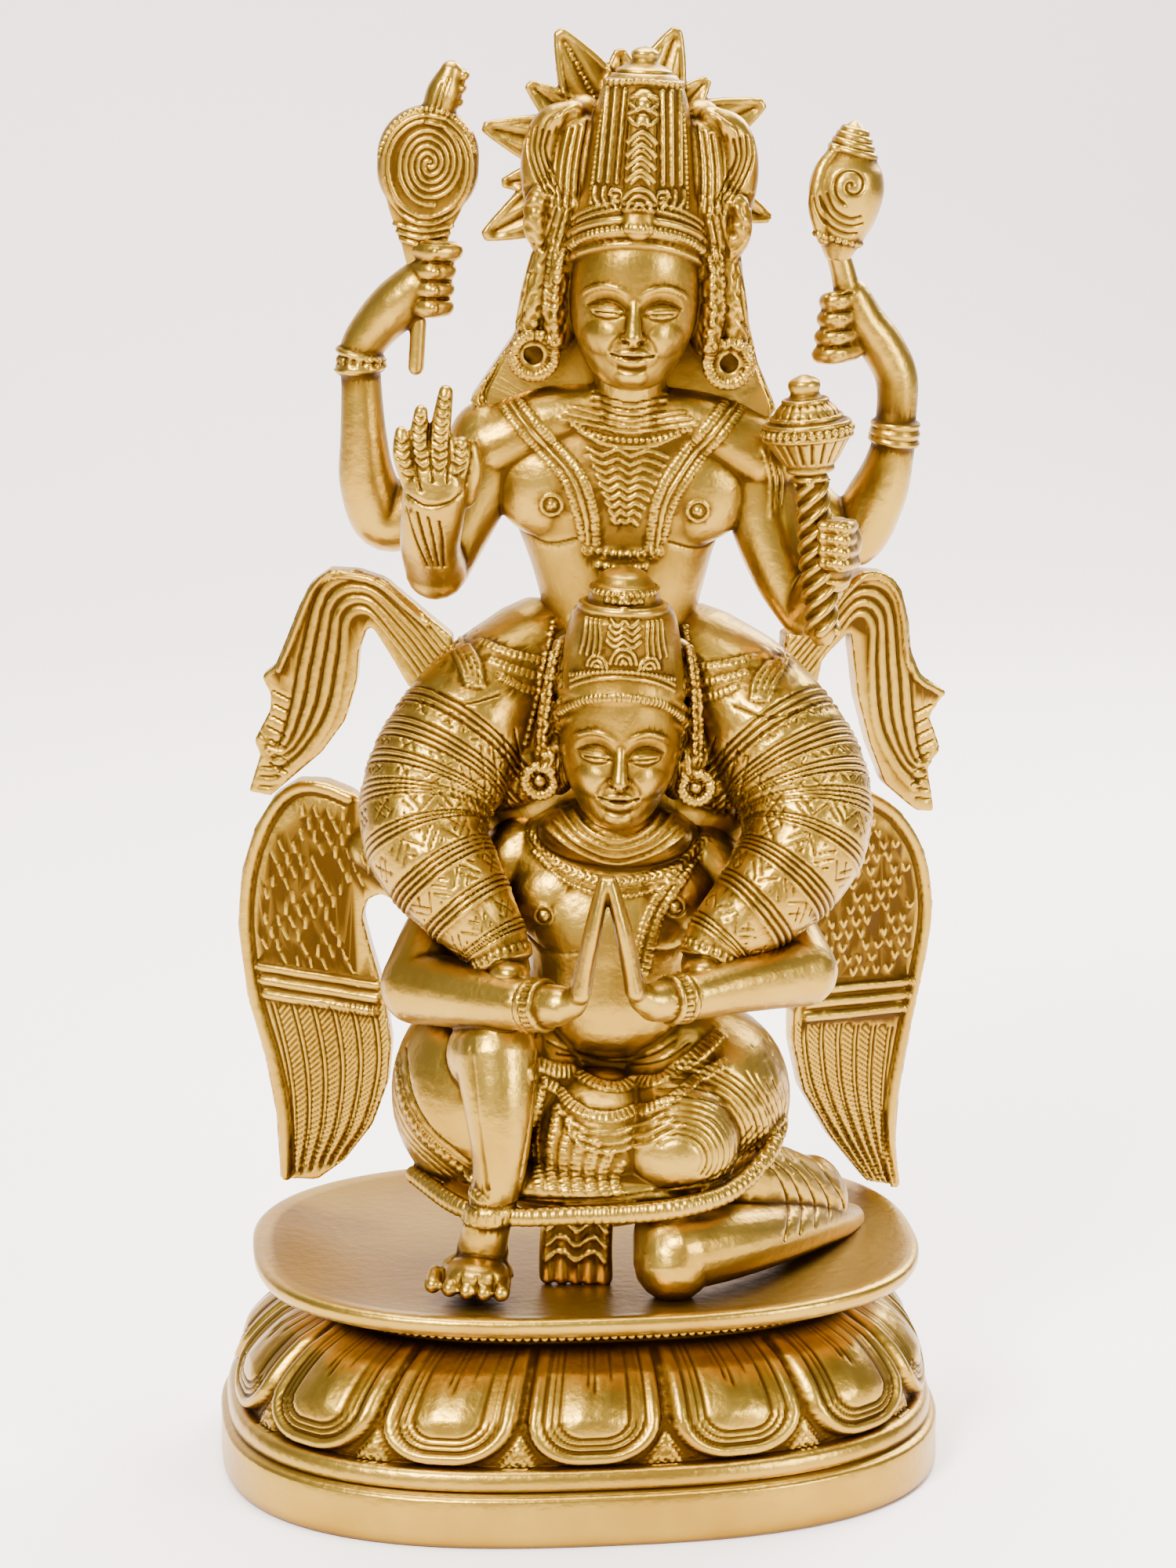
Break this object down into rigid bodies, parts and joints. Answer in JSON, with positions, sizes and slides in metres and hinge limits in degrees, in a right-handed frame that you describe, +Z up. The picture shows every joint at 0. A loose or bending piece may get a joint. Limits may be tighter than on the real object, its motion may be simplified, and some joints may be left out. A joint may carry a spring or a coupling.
{
  "type": "vishnu on garuda statue",
  "caption": "Crowned deity seated on the shoulders of a kneeling winged bearer on an oval lotus pedestal, a one-piece brass casting that stands by its own weight.",
  "frame": {"origin": "centre of the pedestal's flat underside", "axes": "+Z up, -Y towards the front, where the figures face, X across the width"},
  "size_m": [0.1573, 0.119, 0.2994],
  "materials": {
    "brass": "satin polished cast brass, darker in the recesses"
  },
  "bodies": {
    "root": {"vishnu_on_garuda_statue": "brass"}
  },
  "joints": []
}
